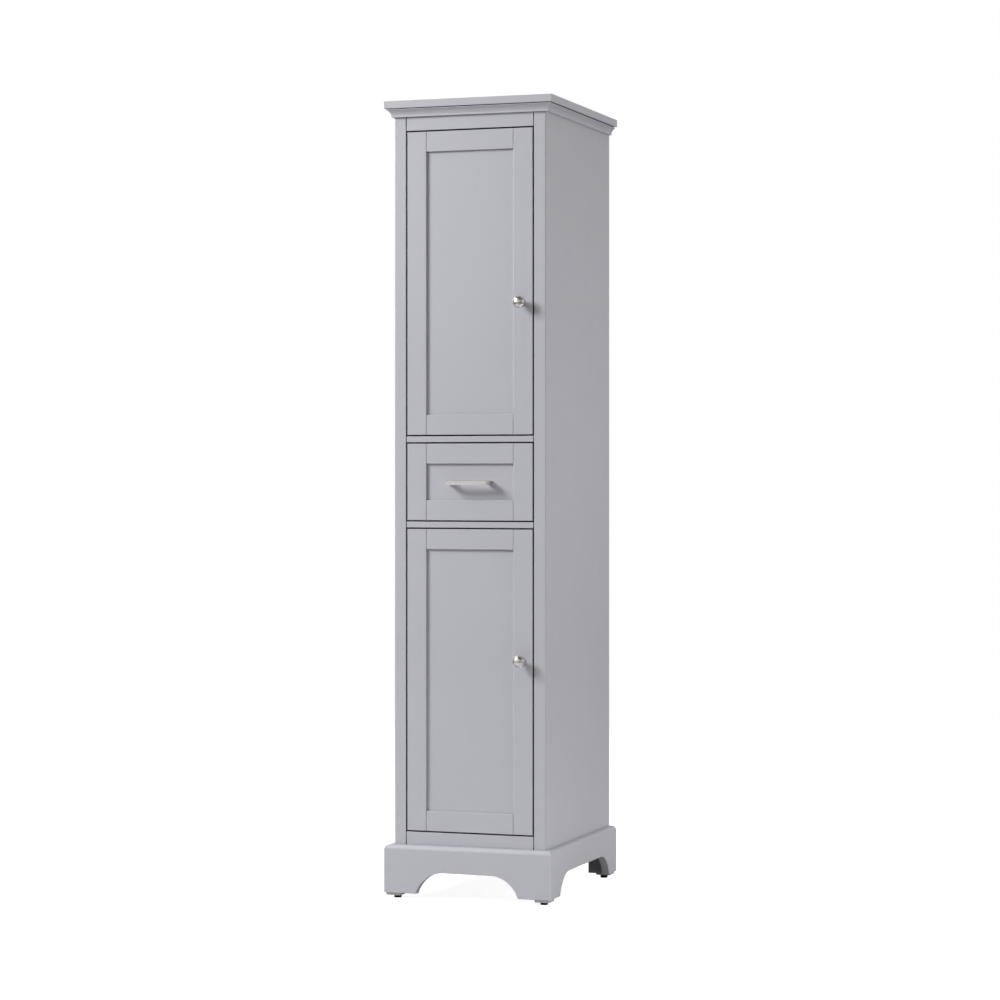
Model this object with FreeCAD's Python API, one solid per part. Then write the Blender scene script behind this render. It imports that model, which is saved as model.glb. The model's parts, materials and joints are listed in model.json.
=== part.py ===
"""Tall narrow storage cabinet: two inset shaker doors with a drawer between them.

Every separate piece is its own solid. Millimetres, +Z up, front towards -Y.
Depths are first measured back from the front plane of the face frame (y = 0).
save() then shifts each piece so that the origin is at the middle of the footprint, on the floor.
"""
import FreeCAD, Part
import math
import os

Vec = FreeCAD.Vector

# ---- overall ----
HEIGHT = 1829.0
BODY_HALF = 183.0
BODY_DEPTH = 490.0
SLAB_T = 17.0
SLAB_SIDE = 20.0
SLAB_FRONT = 17.5
SLAB_UNDER = HEIGHT - SLAB_T

# ---- face frame ----
FRAME_T = 20.0
STILE_W = 28.0
OPEN_HALF = BODY_HALF - STILE_W
MID_RAIL = 13.5
LOWER_BOTTOM = 152.5
LOWER_OPENING = 698.0
DRAWER_OPENING = 182.0
UPPER_OPENING = 701.0
LOWER_TOP = LOWER_BOTTOM + LOWER_OPENING
DRAWER_BOTTOM = LOWER_TOP + MID_RAIL
DRAWER_TOP = DRAWER_BOTTOM + DRAWER_OPENING
UPPER_BOTTOM = DRAWER_TOP + MID_RAIL
UPPER_TOP = UPPER_BOTTOM + UPPER_OPENING
CORNER_R = 2.5
EASE_R = 1.0
SEAM_EASE = 0.15
FRAME_KERF = (1.9, 3.5)

# ---- doors and drawer front ----
GAP_X = 3.5
GAP_Z = 3.25
FRONT_T = 20.0
FRONT_HALF = OPEN_HALF - GAP_X
MEMBER_W = 46.0
RECESS = 5.6
PANEL_T = 8.0
GROOVE = 6.0
PANEL_PLAY = 0.5
FRONT_KERF = (0.9, 1.6)

# ---- carcass ----
PANEL_SIDE_T = 16.0
INNER_HALF = BODY_HALF - PANEL_SIDE_T
BACK_T = 6.0
REBATE = 8.0
BACK_Y = BODY_DEPTH - BACK_T
CARCASS_BOTTOM = 66.0
SHELF_T = 16.0
SHELF_FRONT = 34.0
SHELF_TOPS = (500.0, 1303.0, 1547.0)
SHELF_PLAY = 1.5
SHELF_BACK_GAP = 2.0
SHELF_EASE = 1.0
PIN_R = 2.5
PIN_DEPTH = 9.0
PIN_REACH = 8.0
PIN_COLLAR = 1.5
SPOON_L = 10.0
SPOON_HALF_W = 4.5
SPOON_T = 2.0
PIN_ROWS = (90.0, 420.0)
PIN_PITCH = 32.0
PIN_HOLE_SPAN = 4
WALL_RAIL_H = 80.0
WALL_RAIL_T = 16.0
WALL_HOLE_R = 2.75
WALL_HOLE_X = 100.0
WALL_HOLE_Z = SLAB_UNDER - SHELF_T - WALL_RAIL_H / 2
BACK_SCREW_FIRST = CARCASS_BOTTOM + 60.0
BACK_SCREW_PITCH = 320.0
BACK_SCREW_ROWS = 6
BACK_SCREW_L = 15.0
STOP_X = (OPEN_HALF - 42.0, OPEN_HALF - 12.0)
STOP_H = 12.0
STOP_DEPTH = 14.0
STOP_GAP = 0.3
STOP_BACK = 44.0
STOP_EASE = 1.5

# ---- crown moulding ----
CROWN_BOTTOM = 1792.5
CROWN_LIP = 5.8
CROWN_LIP_H = 4.0
CROWN_OUT = 14.8
CROWN_FILLET_H = 1.2
CROWN_QUIRK = (1.8, 4.0)
COVE_SAG = 1.7
SLAB_TOP_EASE = 0.9
SLAB_UNDER_EASE = 0.6
SLAB_CORNER_R = 1.0

# ---- plinth ----
PLINTH_TOP = 123.0
PLINTH_BOTTOM = 13.5
PLINTH_SIDE = 18.0
PLINTH_FRONT = 21.0
PLINTH_R = 10.0
ARCH_TOP = 63.0
ARCH_R = 71.0
ARCH_HALF = 123.0
SIDE_ARCH_FRONT = 52.0
SIDE_ARCH_BACK = 432.0
BACK_ARCH_HALF = 150.0
ARCH_EASE = 1.2
BACK_BOARD_T = 18.0
BLOCK = 36.0

# ---- feet ----
PAD = 37.0
PAD_INSET = 3.0
PAD_BOTTOM = 7.0
PAD_R = 3.5
GLIDE_TOP_R = 9.25
GLIDE_BOTTOM_R = 7.75
GLIDE_EDGE = 1.0
STEM_R = 3.0
STEM_TOP = 36.0
INSERT_R = 5.0
INSERT_TOP = 40.0
STEM_PLAY = 0.1
GLIDE_INWARD = 2.25
FRONT_GLIDE_SHIFT = 5.75

# ---- hinge, in plan: x from the door's hinge edge, y from the door's front ----
HINGE_INSET = 100.0
PIVOT_X = 15.5
PIVOT_Y = 9.4
CUP_X = 21.5
CUP_R = 17.5
CUP_WALL = 0.8
CUP_FLOOR = 5.8
FLANGE_T = 1.2
FLANGE_HALF_Z = 28.0
FLANGE_X = (2.5, 41.0)
FLANGE_R = 6.0
CUP_SCREW_X = 31.0
CUP_SCREW_Z = 22.5
CUP_SCREW_L = 13.0
HINGE_PIN_R = 1.4
HINGE_PIN_HALF = 9.2
EAR_HALF_X = 3.0
EAR_Z = (6.4, 9.2)
EYE_R = 2.55
PIN_PLAY = 0.05
ARM_HALF_Z = 6.0
ARM_T = 3.0
ARM_LEG_X = 32.5
ARM_TOP_Y = 32.5
ARM_BACK_Y = 72.0
ARM_BEND_R = 2.0
PLATE_Y = (36.0, 72.0)
PLATE_HALF_Z = 24.0
PLATE_EASE = 1.0
PLATE_SCREW_INSET = 6.0
PLATE_SCREW_L = 24.0
HINGE_BLOCK_Y = (20.0, 100.0)
HINGE_BLOCK_HALF_Z = 45.0

# ---- drawer runners ----
RUNNER_L = 400.0
RUNNER_Y = 22.0
RUNNER_W = 12.7
RUNNER_Z = 935.0
SHEET = 1.2
OUTER_HALF_H = 22.5
OUTER_LIP = 9.5
MIDDLE_U = (4.0, 10.5)
MIDDLE_HALF_H = 17.0
INNER_U = 6.5
INNER_HALF_H = 12.0
BALL_PLAY = 0.06
BALLS = 4
OUTER_BALLS_Y = (RUNNER_Y + 190.0, RUNNER_Y + RUNNER_L - 10.0)
INNER_BALLS_Y = (RUNNER_Y + 10.0, RUNNER_Y + 210.0)
RAIL_SCREWS_Y = (60.0, 380.0)
RAIL_SCREW_L = 11.0
SPACER_HALF_H = 30.0

# ---- drawer box ----
BOX_T = 12.0
BOX_Z = (880.0, 1000.0)
BOX_Y = (20.0, 420.0)
BOX_BOTTOM_T = 6.0
BOX_BOTTOM_Z = 888.0
BOX_GROOVE = 6.0
BOX_HALF = OPEN_HALF - RUNNER_W
TAILS = 3
TAIL_NECK = 20.0
TAIL_FLARE = 2.0
BOX_EASE = 1.0
BOTTOM_PLAY = 0.3
BOX_SCREWS_Y = (80.0, 360.0)
BOX_SCREW_L = 10.0
FRONT_SCREW_X = FRONT_HALF - MEMBER_W / 2 - 5.0
FRONT_SCREWS_Z = (905.0, 975.0)
FRONT_SCREW_L = 26.0

# ---- knobs and handle ----
KNOB_INBOARD = 3.2
KNOB_X = FRONT_HALF - MEMBER_W / 2 - KNOB_INBOARD
UPPER_KNOB_Z = 1362.0
LOWER_KNOB_Z = 550.0
KNOB_R = 14.2
KNOB_REACH = 28.5
KNOB_THREAD = 12.0
HANDLE_Z = 953.0
HANDLE_CENTRES = 96.0
HANDLE_POST = 9.0
HANDLE_H = 10.0
HANDLE_BAR = 9.0
HANDLE_REACH = 29.0
HANDLE_CORNER_R = 4.5
HANDLE_EASE = 0.6
HANDLE_THREAD = 12.0
M4_R = 2.0
PAN_HEAD_R = 3.8
PAN_HEAD_H = 2.0

# ---- small screws ----
SCREW_R = 1.7
SCREW_HEAD_R = 3.6
SCREW_HEAD_H = 2.2
SCREW_PLAY = 0.05
CROSS_W = 0.9
CROSS_R = 2.1
CROSS_DEPTH = 1.3

Y_SHIFT = -(BODY_DEPTH - KNOB_REACH) / 2

os.makedirs("parts", exist_ok=True)


# ---------------------------------------------------------------- helpers
def save(node, solids):
    """Write one node, moved into the cabinet's own frame."""
    shape = Part.makeCompound(solids) if len(solids) > 1 else solids[0].copy()
    shape.translate(Vec(0, Y_SHIFT, 0))
    shape.exportStep(f"parts/{node}.step")


def box(x, y, z):
    """A block from three (low, high) pairs."""
    return Part.makeBox(x[1] - x[0], y[1] - y[0], z[1] - z[0], Vec(x[0], y[0], z[0]))


def cylinder(radius, start, end):
    """A round bar between two points."""
    axis = Vec(*end) - Vec(*start)
    return Part.makeCylinder(radius, axis.Length, Vec(*start), axis)


def mirrored(shape):
    """The same piece on the other side of the cabinet."""
    return shape.mirror(Vec(0, 0, 0), Vec(1, 0, 0))


def turned(profile, base, axis):
    """A solid of revolution from (radius, height) points, standing on base along axis."""
    points = [Vec(radius, 0, height) for radius, height in profile]
    solid = Part.Face(Part.makePolygon(points + points[:1])).revolve(Vec(0, 0, 0), Vec(0, 0, 1), 360)
    solid.rotate(Vec(0, 0, 0), *axis_turn(axis))
    solid.translate(Vec(*base))
    return solid


def axis_turn(axis):
    """The rotation that takes +Z onto axis."""
    turn = FreeCAD.Rotation(Vec(0, 0, 1), Vec(*axis))
    return turn.Axis, math.degrees(turn.Angle)


def prism(points, sweep):
    """A closed outline of 3D points, extruded along sweep."""
    outline = [Vec(*point) for point in points]
    return Part.Face(Part.makePolygon(outline + outline[:1])).extrude(Vec(*sweep))


def on_plane(edge, axis, value):
    """True if the whole edge lies where the named coordinate has this value."""
    low = getattr(edge.BoundBox, axis + "Min")
    high = getattr(edge.BoundBox, axis + "Max")
    return abs(low - value) < 1e-4 and abs(high - value) < 1e-4


def eased(shape, axis, value, radius=EASE_R):
    """Round over the edges of the face that lies on one plane."""
    return shape.makeFillet(radius, [edge for edge in shape.Edges if on_plane(edge, axis, value)])


def joined(shapes):
    """One solid from several that touch or overlap."""
    return shapes[0].multiFuse(shapes[1:]).removeSplitter()


def countersunk(point, axis, length, play=0.0):
    """Outline of a flat-head wood screw whose head is flush at point, with play all round."""
    profile = [
        (0, 0),
        (SCREW_HEAD_R + play, 0),
        (SCREW_R + play, SCREW_HEAD_H),
        (SCREW_R + play, length + play),
        (0, length + play),
    ]
    return turned(profile, point, axis)


def screw_hole(point, axis, length):
    return countersunk(point, axis, length, SCREW_PLAY)


def cross_recess(point, axis, top):
    """The driver's cross, sunk into a head whose top is this far behind point along axis."""
    bars = [
        box((-CROSS_R, CROSS_R), (-CROSS_W / 2, CROSS_W / 2), (top - 1, top + CROSS_DEPTH)),
        box((-CROSS_W / 2, CROSS_W / 2), (-CROSS_R, CROSS_R), (top - 1, top + CROSS_DEPTH)),
    ]
    tool = joined(bars)
    tool.rotate(Vec(0, 0, 0), *axis_turn(axis))
    tool.translate(Vec(*point))
    return tool


def wood_screw(point, axis, length):
    """A flat-head wood screw with a cross recess."""
    return countersunk(point, axis, length).cut(cross_recess(point, axis, 0))


def kerfed(rail, half, z, kerf):
    """Relieve the front of a rail's two ends, so that each joint shows as a fine open line."""
    width, depth = kerf
    cuts = [
        box((-half - 1, -half + width), (-1, depth), (z[0] - 1, z[1] + 1)),
        box((half - width, half + 1), (-1, depth), (z[0] - 1, z[1] + 1)),
    ]
    return rail.cut(cuts)


# ---------------------------------------------------------------- crown
def crown_profile():
    """Wire in (offset, height): vertical lip, shallow cove, fillet and a quirk under the slab."""
    cove_bottom = Vec(CROWN_LIP, 0, CROWN_BOTTOM + CROWN_LIP_H)
    quirk_h, quirk_depth = CROWN_QUIRK
    fillet_top = SLAB_UNDER - quirk_h
    quirk_x = CROWN_OUT - quirk_depth
    cove_top = Vec(CROWN_OUT, 0, fillet_top - CROWN_FILLET_H)
    chord = cove_top - cove_bottom
    inward = Vec(-chord.z, 0, chord.x)
    inward.normalize()
    cove_middle = (cove_bottom + cove_top) * 0.5 + inward * COVE_SAG
    return Part.Wire([
        Part.makeLine(Vec(0, 0, CROWN_BOTTOM), Vec(CROWN_LIP, 0, CROWN_BOTTOM)),
        Part.makeLine(Vec(CROWN_LIP, 0, CROWN_BOTTOM), cove_bottom),
        Part.Arc(cove_bottom, cove_middle, cove_top).toShape(),
        Part.makeLine(cove_top, Vec(CROWN_OUT, 0, fillet_top)),
        Part.makeLine(Vec(CROWN_OUT, 0, fillet_top), Vec(quirk_x, 0, fillet_top)),
        Part.makeLine(Vec(quirk_x, 0, fillet_top), Vec(quirk_x, 0, SLAB_UNDER)),
        Part.makeLine(Vec(quirk_x, 0, SLAB_UNDER), Vec(0, 0, SLAB_UNDER)),
        Part.makeLine(Vec(0, 0, SLAB_UNDER), Vec(0, 0, CROWN_BOTTOM)),
    ])


def mitre_zone(inner_half, reach, z, front):
    """Plan region of a front moulding, or of the right-hand one, cut at 45 degrees."""
    if front:
        points = [(-inner_half, 0, z[0]), (inner_half, 0, z[0]),
                  (inner_half + reach, -reach, z[0]), (-inner_half - reach, -reach, z[0])]
    else:
        points = [(inner_half, 0, z[0]), (inner_half, BODY_DEPTH, z[0]),
                  (inner_half + reach, BODY_DEPTH, z[0]), (inner_half + reach, -reach, z[0])]
    return prism(points, (0, 0, z[1] - z[0]))


def crown():
    z = (CROWN_BOTTOM - 1, SLAB_UNDER + 1)
    reach = CROWN_OUT + 1
    side = Part.Face(crown_profile())
    side.translate(Vec(BODY_HALF, -CROWN_OUT, 0))
    side = side.extrude(Vec(0, BODY_DEPTH + CROWN_OUT, 0)).common(mitre_zone(BODY_HALF, reach, z, False))
    front = Part.Face(crown_profile())
    front.rotate(Vec(0, 0, 0), Vec(0, 0, 1), -90)
    front.translate(Vec(-BODY_HALF - CROWN_OUT, 0, 0))
    front = front.extrude(Vec(2 * (BODY_HALF + CROWN_OUT), 0, 0))
    front = front.common(mitre_zone(BODY_HALF, reach, z, True))
    save("crown_front", [front])
    save("crown_right", [side])
    save("crown_left", [mirrored(side)])
    half = BODY_HALF + SLAB_SIDE
    slab = box((-half, half), (-SLAB_FRONT, BODY_DEPTH), (SLAB_UNDER, HEIGHT))
    upright = [edge for edge in slab.Edges if on_plane(edge, "Y", -SLAB_FRONT) and edge.BoundBox.ZLength > 1]
    slab = slab.makeFillet(SLAB_CORNER_R, [edge for edge in upright if edge.BoundBox.XLength < 1e-4])
    slab = eased(eased(slab, "Z", HEIGHT, SLAB_TOP_EASE), "Z", SLAB_UNDER, SLAB_UNDER_EASE)
    save("crown_slab", [slab])


# ---------------------------------------------------------------- face frame
def frame_rail(z):
    rail = eased(box((-OPEN_HALF, OPEN_HALF), (0, FRAME_T), z), "Y", 0)
    return kerfed(rail, OPEN_HALF, z, FRAME_KERF)


def seam_edges(piece):
    """The outer edges where the face frame meets the side panel."""
    return [edge for edge in piece.Edges if on_plane(edge, "X", BODY_HALF) and on_plane(edge, "Y", FRAME_T)]


def face_frame():
    stile = box((OPEN_HALF, BODY_HALF), (0, FRAME_T), (CARCASS_BOTTOM, SLAB_UNDER))
    outer_front = [edge for edge in stile.Edges if on_plane(edge, "X", BODY_HALF) and on_plane(edge, "Y", 0)]
    stile = stile.makeFillet(CORNER_R, outer_front)
    inner_front = [edge for edge in stile.Edges if on_plane(edge, "X", OPEN_HALF) and on_plane(edge, "Y", 0)]
    stile = stile.makeFillet(EASE_R, inner_front)
    stile = stile.makeFillet(SEAM_EASE, seam_edges(stile))
    save("frame_stile_right", [stile])
    save("frame_stile_left", [mirrored(stile)])
    save("frame_rail_top", [frame_rail((UPPER_TOP, SLAB_UNDER))])
    middle_heights = ((LOWER_TOP, DRAWER_BOTTOM), (DRAWER_TOP, UPPER_BOTTOM))
    save("frame_rails_middle", [frame_rail(z) for z in middle_heights])
    save("frame_rail_bottom", [frame_rail((CARCASS_BOTTOM, LOWER_BOTTOM))])


# ---------------------------------------------------------------- carcass
def pin_holes(shelf_top):
    """Heights of the row of pin holes around one shelf."""
    middle = shelf_top - SHELF_T - PIN_R
    return [middle + step * PIN_PITCH for step in range(-PIN_HOLE_SPAN, PIN_HOLE_SPAN + 1)]


def back_screw_points():
    """Where the back panel is screwed to the side panels and to the dividers."""
    side_x = INNER_HALF + REBATE / 2
    heights = [BACK_SCREW_FIRST + step * BACK_SCREW_PITCH for step in range(BACK_SCREW_ROWS)]
    points = [(sign * side_x, z) for z in heights for sign in (-1, 1)]
    return points + [(0, LOWER_TOP + MID_RAIL / 2), (0, DRAWER_TOP + MID_RAIL / 2)]


def back_screws():
    return [((x, BODY_DEPTH, z), (0, -1, 0), BACK_SCREW_L) for x, z in back_screw_points()]


def side_panel():
    panel = box((INNER_HALF, BODY_HALF), (FRAME_T, BODY_DEPTH), (CARCASS_BOTTOM, SLAB_UNDER))
    panel = panel.makeFillet(SEAM_EASE, seam_edges(panel))
    rebate = box((INNER_HALF, INNER_HALF + REBATE), (BACK_Y, BODY_DEPTH), (CARCASS_BOTTOM, SLAB_UNDER))
    holes = [
        cylinder(PIN_R, (INNER_HALF, y, z), (INNER_HALF + PIN_DEPTH, y, z))
        for shelf_top in SHELF_TOPS for z in pin_holes(shelf_top) for y in PIN_ROWS
    ]
    return panel.cut([rebate] + holes)


def shelf(top):
    half = INNER_HALF - SHELF_PLAY
    board = box((-half, half), (SHELF_FRONT, BACK_Y - SHELF_BACK_GAP), (top - SHELF_T, top))
    return eased(board, "Y", SHELF_FRONT, SHELF_EASE)


def shelf_pin(y, z):
    """A round peg in the side panel with a flat spoon under the shelf."""
    peg = cylinder(PIN_R, (INNER_HALF + PIN_DEPTH, y, z), (INNER_HALF - PIN_REACH, y, z))
    collar = cylinder(PIN_R + PIN_COLLAR, (INNER_HALF, y, z), (INNER_HALF - SHELF_PLAY, y, z))
    above = box((INNER_HALF - SPOON_L, INNER_HALF), (y - SPOON_L, y + SPOON_L), (z + PIN_R, z + SPOON_L))
    spoon = box((INNER_HALF - SPOON_L, INNER_HALF - SHELF_PLAY), (y - SPOON_HALF_W, y + SPOON_HALF_W),
                (z + PIN_R - SPOON_T, z + PIN_R))
    return joined([peg, collar, spoon]).cut(above)


def carcass():
    z_full = (CARCASS_BOTTOM, SLAB_UNDER)
    screws = back_screws()
    holes = [screw_hole(*screw) for screw in screws]
    right = side_panel()
    hinge_holes = [screw_hole(*screw) for screw in plate_screws()]
    save("side_panel_right", [right.cut(holes)])
    save("side_panel_left", [mirrored(right).cut(holes + hinge_holes)])
    back = box((-INNER_HALF - REBATE, INNER_HALF + REBATE), (BACK_Y, BODY_DEPTH), z_full)
    wall_holes = [
        cylinder(WALL_HOLE_R, (x, BACK_Y - WALL_RAIL_T, WALL_HOLE_Z), (x, BODY_DEPTH, WALL_HOLE_Z))
        for x in (-WALL_HOLE_X, WALL_HOLE_X)
    ]
    save("back_panel", [back.cut(holes + wall_holes)])
    inner = (-INNER_HALF, INNER_HALF)
    save("top_panel", [box(inner, (FRAME_T, BACK_Y), (SLAB_UNDER - SHELF_T, SLAB_UNDER))])
    upper = box(inner, (FRAME_T, BACK_Y), (DRAWER_TOP, UPPER_BOTTOM)).cut(holes)
    lower = box(inner, (FRAME_T, BACK_Y), (LOWER_TOP, DRAWER_BOTTOM)).cut(holes)
    save("divider_upper", [upper])
    save("divider_lower", [lower])
    save("bottom_panel", [box(inner, (FRAME_T, BACK_Y), (LOWER_BOTTOM - SHELF_T, LOWER_BOTTOM))])
    rail_top = SLAB_UNDER - SHELF_T
    rail = box(inner, (BACK_Y - WALL_RAIL_T, BACK_Y), (rail_top - WALL_RAIL_H, rail_top))
    save("wall_rail", [rail.cut(wall_holes)])
    save("shelves", [shelf(top) for top in SHELF_TOPS])
    pins = [shelf_pin(y, top - SHELF_T - PIN_R) for top in SHELF_TOPS for y in PIN_ROWS]
    save("shelf_pins", pins + [mirrored(pin) for pin in pins])
    save("carcass_screws", [wood_screw(*screw) for screw in screws + plate_screws() + rail_screws()])


def door_stops():
    """Small blocks behind the frame that each door's latch side closes against."""
    depth = (FRONT_T + STOP_GAP, FRONT_T + STOP_DEPTH)
    lower = (LOWER_BOTTOM, LOWER_TOP - STOP_H, UPPER_BOTTOM)
    stops = [eased(box(STOP_X, depth, (z, z + STOP_H)), "Y", depth[1], STOP_EASE) for z in lower]
    foot = UPPER_TOP - STOP_H
    top_stop = box(STOP_X, (FRAME_T, depth[1]), (foot, foot + STOP_BACK))
    relief = box(STOP_X, (FRAME_T, depth[0]), (foot, UPPER_TOP))
    save("door_stops", stops + [top_stop.cut(relief)])


# ---------------------------------------------------------------- plinth and feet
def arch(low, high, cross, along_x):
    """The opening under a plinth board: flat top, and a large arc down to each leg."""
    drop = ARCH_TOP - ARCH_R
    lean = math.sqrt(ARCH_R ** 2 - (PLINTH_BOTTOM - drop) ** 2)
    centres = (low + lean, high - lean)
    diagonal = ARCH_R * math.sqrt(0.5)
    below = PLINTH_BOTTOM - 5

    def point(along, z):
        return Vec(along, cross[0], z) if along_x else Vec(cross[0], along, z)

    left = Part.Arc(point(low, PLINTH_BOTTOM), point(centres[0] - diagonal, drop + diagonal),
                    point(centres[0], ARCH_TOP))
    right = Part.Arc(point(centres[1], ARCH_TOP), point(centres[1] + diagonal, drop + diagonal),
                     point(high, PLINTH_BOTTOM))
    corners = [point(high, PLINTH_BOTTOM), point(high, below), point(low, below), point(low, PLINTH_BOTTOM)]
    wire = Part.Wire([left.toShape(), Part.makeLine(left.EndPoint, right.StartPoint), right.toShape()]
                     + [Part.makeLine(a, b) for a, b in zip(corners, corners[1:])])
    depth = cross[1] - cross[0]
    return Part.Face(wire).extrude(Vec(0, depth, 0) if along_x else Vec(depth, 0, 0))


def plinth_stock():
    """The whole mitred ring before it is cut, with its top outer edge rounded over."""
    half = BODY_HALF + PLINTH_SIDE
    block = box((-half, half), (-PLINTH_FRONT, BODY_DEPTH), (PLINTH_BOTTOM, PLINTH_TOP))
    rounded = [
        edge for edge in block.Edges
        if on_plane(edge, "Z", PLINTH_TOP) and not on_plane(edge, "Y", BODY_DEPTH)
    ]
    return block.makeFillet(PLINTH_R, rounded)


def plinth():
    stock = plinth_stock()
    z = (PLINTH_BOTTOM - 1, PLINTH_TOP + 1)
    outer = BODY_HALF + PLINTH_SIDE
    inner = outer - PLINTH_FRONT
    front = stock.common(mitre_zone(inner, PLINTH_FRONT + 1, z, True))
    front = front.cut(arch(-ARCH_HALF, ARCH_HALF, (-PLINTH_FRONT - 1, 1), True))
    side = stock.common(mitre_zone(inner, PLINTH_FRONT + 1, z, False))
    side = side.cut(box((0, BODY_HALF), (-PLINTH_FRONT, BODY_DEPTH + 1), z))
    side = side.cut(arch(SIDE_ARCH_FRONT, SIDE_ARCH_BACK, (BODY_HALF - 1, outer + 1), False))
    save("plinth_front", [eased_arch(front, "Y", -PLINTH_FRONT)])
    side = eased_arch(side, "X", outer)
    save("plinth_right", [side])
    save("plinth_left", [mirrored(side)])
    board_y = (BODY_DEPTH - BACK_BOARD_T, BODY_DEPTH)
    back = box((-BODY_HALF, BODY_HALF), board_y, (PLINTH_BOTTOM, CARCASS_BOTTOM))
    back = back.cut(arch(-BACK_ARCH_HALF, BACK_ARCH_HALF, (board_y[0] - 1, board_y[1] + 1), True))
    save("plinth_back", [back])


def eased_arch(board, axis, value):
    """Soften the lower outer edges of a plinth board: its legs and its arch."""
    lower = [edge for edge in board.Edges if edge.BoundBox.ZMax < ARCH_TOP + 1]
    return board.makeFillet(ARCH_EASE, [edge for edge in lower if on_plane(edge, axis, value)])


def foot_centres(inward=0.0, front_shift=0.0):
    """Centre of each foot: front pair under the mitres, back pair under the side boards' ends."""
    middle = BODY_HALF + PLINTH_SIDE - PAD_INSET - PAD / 2 - inward
    front_y = -PLINTH_FRONT + PAD_INSET + PAD / 2 + front_shift
    back_y = BODY_DEPTH - PAD_INSET - PAD / 2 - inward
    return {
        "front_left": (-middle, front_y),
        "front_right": (middle, front_y),
        "back_left": (-middle, back_y),
        "back_right": (middle, back_y),
    }


def glide_centres():
    """The glides stand a little inside their pads' centres, clear of the plinth's boards."""
    return foot_centres(GLIDE_INWARD, FRONT_GLIDE_SHIFT)


def copies_at(shape, centres):
    """One copy of a piece at each of the four feet."""
    copies = []
    for x, y in centres.values():
        copy = shape.copy()
        copy.translate(Vec(x, y, 0))
        copies.append(copy)
    return copies


def corner_block(x, y):
    """Glue block in a corner of the plinth, notched around the boards beside it."""
    sign = 1 if x > 0 else -1
    side = sorted((sign * BODY_HALF, sign * (BODY_HALF - BLOCK)))
    if y < BODY_DEPTH / 2:
        depth = (0, BLOCK)
    else:
        depth = (BODY_DEPTH - BACK_BOARD_T - BLOCK, BODY_DEPTH - BACK_BOARD_T)
    return box(side, depth, (PLINTH_BOTTOM, CARCASS_BOTTOM))


def feet():
    bore = cylinder(STEM_R + STEM_PLAY, (0, 0, 0), (0, 0, INSERT_TOP + 1))
    socket = cylinder(INSERT_R, (0, 0, PAD_BOTTOM), (0, 0, INSERT_TOP))
    insert = socket.cut(bore)
    half = PAD / 2
    pad = box((-half, half), (-half, half), (PAD_BOTTOM, PLINTH_BOTTOM))
    pad = pad.makeFillet(PAD_R, [edge for edge in pad.Edges if not on_plane(edge, "Z", PLINTH_BOTTOM)])
    sockets = copies_at(socket, glide_centres())
    save("foot_pads", [piece.cut(sockets) for piece in copies_at(pad, foot_centres())])
    save("thread_inserts", copies_at(insert, glide_centres()))
    profile = [
        (0, 0),
        (GLIDE_BOTTOM_R - GLIDE_EDGE, 0),
        (GLIDE_BOTTOM_R, GLIDE_EDGE),
        (GLIDE_TOP_R, PAD_BOTTOM),
        (STEM_R, PAD_BOTTOM),
        (STEM_R, STEM_TOP),
        (0, STEM_TOP),
    ]
    for name, (x, y) in glide_centres().items():
        save(f"glide_{name}", [turned(profile, (x, y, 0), (0, 0, 1))])
    save("corner_blocks", [corner_block(x, y).cut(sockets) for x, y in foot_centres().values()])


# ---------------------------------------------------------------- doors and drawer front
def groove_tool(x, z):
    """The space of the panel's groove, all round an opening between the members."""
    return box((x[0] - GROOVE, x[1] + GROOVE), (RECESS, RECESS + PANEL_T), (z[0] - GROOVE, z[1] + GROOVE))


def shaker(z):
    """Stiles, rails and panel of one flush frame-and-panel front that spans these heights."""
    x = (-FRONT_HALF + MEMBER_W, FRONT_HALF - MEMBER_W)
    inner_z = (z[0] + MEMBER_W, z[1] - MEMBER_W)
    groove = groove_tool(x, inner_z)
    stile = eased(box((x[1], FRONT_HALF), (0, FRONT_T), z), "Y", 0)
    tongue_room = groove_tool(x, (z[0] + GROOVE, z[1] - GROOVE))
    stile = stile.cut(tongue_room)
    rails = []
    for low, high in ((z[0], inner_z[0]), (inner_z[1], z[1])):
        body = eased(box(x, (0, FRONT_T), (low, high)), "Y", 0)
        body = kerfed(body, x[1], (low, high), FRONT_KERF)
        tongue = box((x[0] - GROOVE, x[1] + GROOVE), (RECESS, RECESS + PANEL_T), (low, high))
        rails.append(body.fuse(tongue).removeSplitter().cut(groove))
    play = GROOVE - PANEL_PLAY
    panel = box((x[0] - play, x[1] + play), (RECESS, RECESS + PANEL_T),
                (inner_z[0] - play, inner_z[1] + play))
    return stile, rails, panel


def screw_through(x, z, start, length):
    """Pan-head machine screw that comes from behind a front, along -Y."""
    profile = [
        (0, -PAN_HEAD_H),
        (PAN_HEAD_R - PAN_HEAD_H / 4, -PAN_HEAD_H),
        (PAN_HEAD_R, -PAN_HEAD_H / 2),
        (PAN_HEAD_R, 0),
        (M4_R, 0),
        (M4_R, length),
        (0, length),
    ]
    screw = turned(profile, (x, start, z), (0, -1, 0))
    return screw.cut(cross_recess((x, start, z), (0, -1, 0), -PAN_HEAD_H))


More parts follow.
